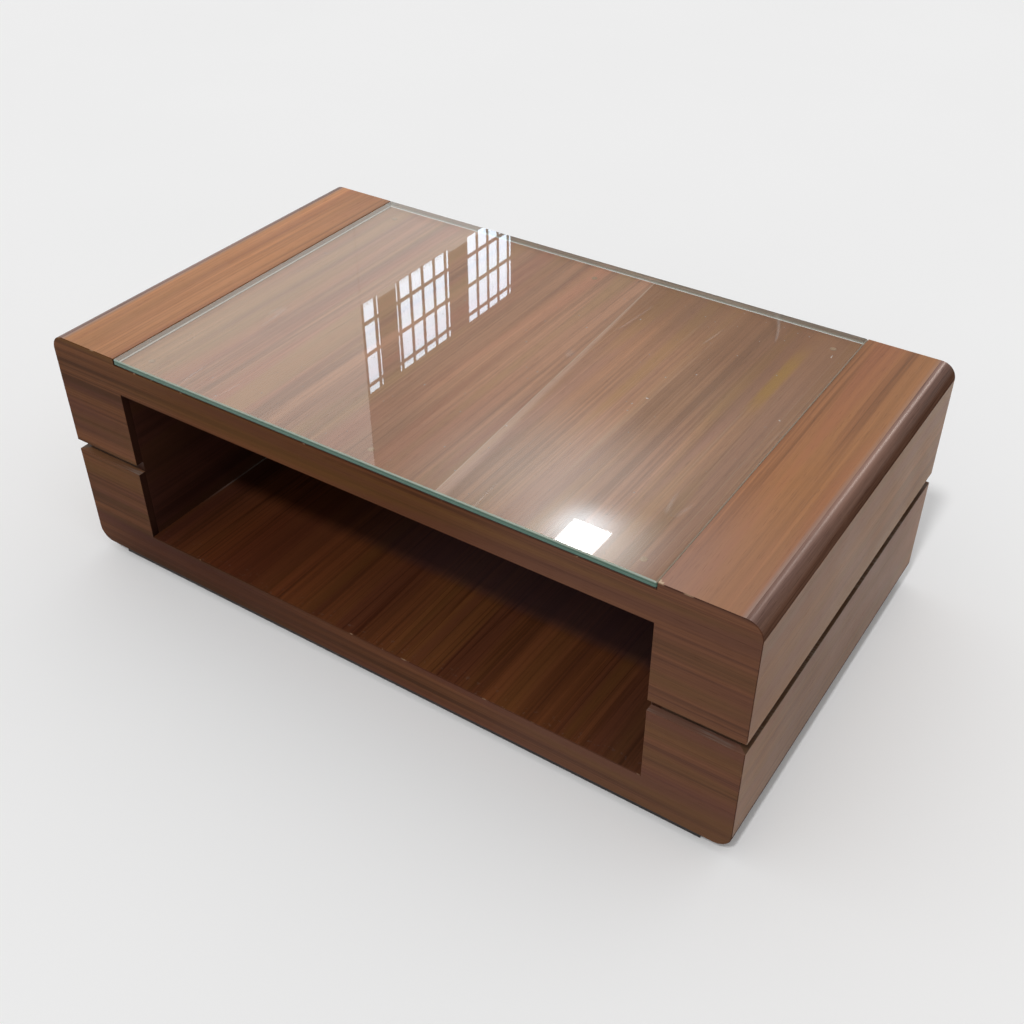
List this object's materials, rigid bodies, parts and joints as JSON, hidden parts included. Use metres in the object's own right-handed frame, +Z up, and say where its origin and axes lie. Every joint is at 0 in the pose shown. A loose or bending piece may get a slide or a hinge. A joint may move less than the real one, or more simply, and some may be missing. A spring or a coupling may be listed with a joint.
{
  "type": "display table",
  "caption": "Low rectangular display table with an inset glass top, raised strips with rounded edges, a shadow gap around its ends, an open front compartment and a recessed plinth.",
  "frame": {"origin": "on the floor, below the middle of the table", "axes": "+X along the length to the right as seen from the open front, +Y from the open front to the closed back, +Z up"},
  "size_m": [1.2, 0.675, 0.423],
  "materials": {
    "glass": "clear float glass with polished green edges",
    "clear_bumper": "clear soft polymer",
    "glide_plastic": "moulded, dark brown",
    "screw_steel": "zinc plated",
    "dowel_beech": "bare beech",
    "core_wood": "bare softwood",
    "plinth_paint": "matt black-brown paint",
    "strip_veneer": "satin lacquered walnut veneer, orange-brown",
    "lipping_wood": "satin lacquered solid walnut, darker",
    "deck_veneer": "satin lacquered walnut veneer",
    "shelf_veneer": "satin lacquered walnut veneer, red-brown",
    "end_veneer": "satin lacquered walnut veneer, grey-brown",
    "front_veneer": "satin lacquered walnut veneer, cross grain",
    "reveal_stain": "dark stained board behind the shadow gap",
    "underside_board": "stained board",
    "inner_veneer": "satin lacquered walnut veneer"
  },
  "bodies": {
    "carcass": {"back_panel": "inner_veneer", "base_back_rail": "front_veneer", "base_core_battens": "core_wood", "base_front_rail": "front_veneer", "bottom_panel": "underside_board", "ceiling_panel": "inner_veneer", "floor_glides": "glide_plastic", "glass_bumpers": "clear_bumper", "joint_dowels": "dowel_beech", "left_back_stile": "reveal_stain", "left_base_lipping": "lipping_wood", "left_base_strip": "underside_board", "left_cheek": "inner_veneer", "left_end_core": "reveal_stain", "left_front_stile": "reveal_stain", "left_lower_back_facing": "front_veneer", "left_lower_end_facing": "end_veneer", "left_lower_front_facing": "front_veneer", "left_top_lipping": "lipping_wood", "left_top_strip": "strip_veneer", "left_upper_back_facing": "front_veneer", "left_upper_end_facing": "end_veneer", "left_upper_front_facing": "front_veneer", "plinth_back_rail": "plinth_paint", "plinth_front_rail": "plinth_paint", "plinth_left_rail": "plinth_paint", "plinth_middle_rail": "plinth_paint", "plinth_right_rail": "plinth_paint", "plinth_screws": "screw_steel", "right_back_stile": "reveal_stain", "right_base_lipping": "lipping_wood", "right_base_strip": "underside_board", "right_cheek": "inner_veneer", "right_end_core": "reveal_stain", "right_front_stile": "reveal_stain", "right_lower_back_facing": "front_veneer", "right_lower_end_facing": "end_veneer", "right_lower_front_facing": "front_veneer", "right_top_lipping": "lipping_wood", "right_top_strip": "strip_veneer", "right_upper_back_facing": "front_veneer", "right_upper_end_facing": "end_veneer", "right_upper_front_facing": "front_veneer", "shelf_panel": "shelf_veneer", "top_back_rail": "front_veneer", "top_core_battens": "core_wood", "top_deck": "deck_veneer", "top_front_rail": "front_veneer"},
    "glass": {"glass_pane": "glass"}
  },
  "joints": [
    {"name": "glass_lift", "type": "slide", "parent": "carcass", "child": "glass", "axis": [0, 0, 1], "range_m": [0, 0.12]}
  ]
}
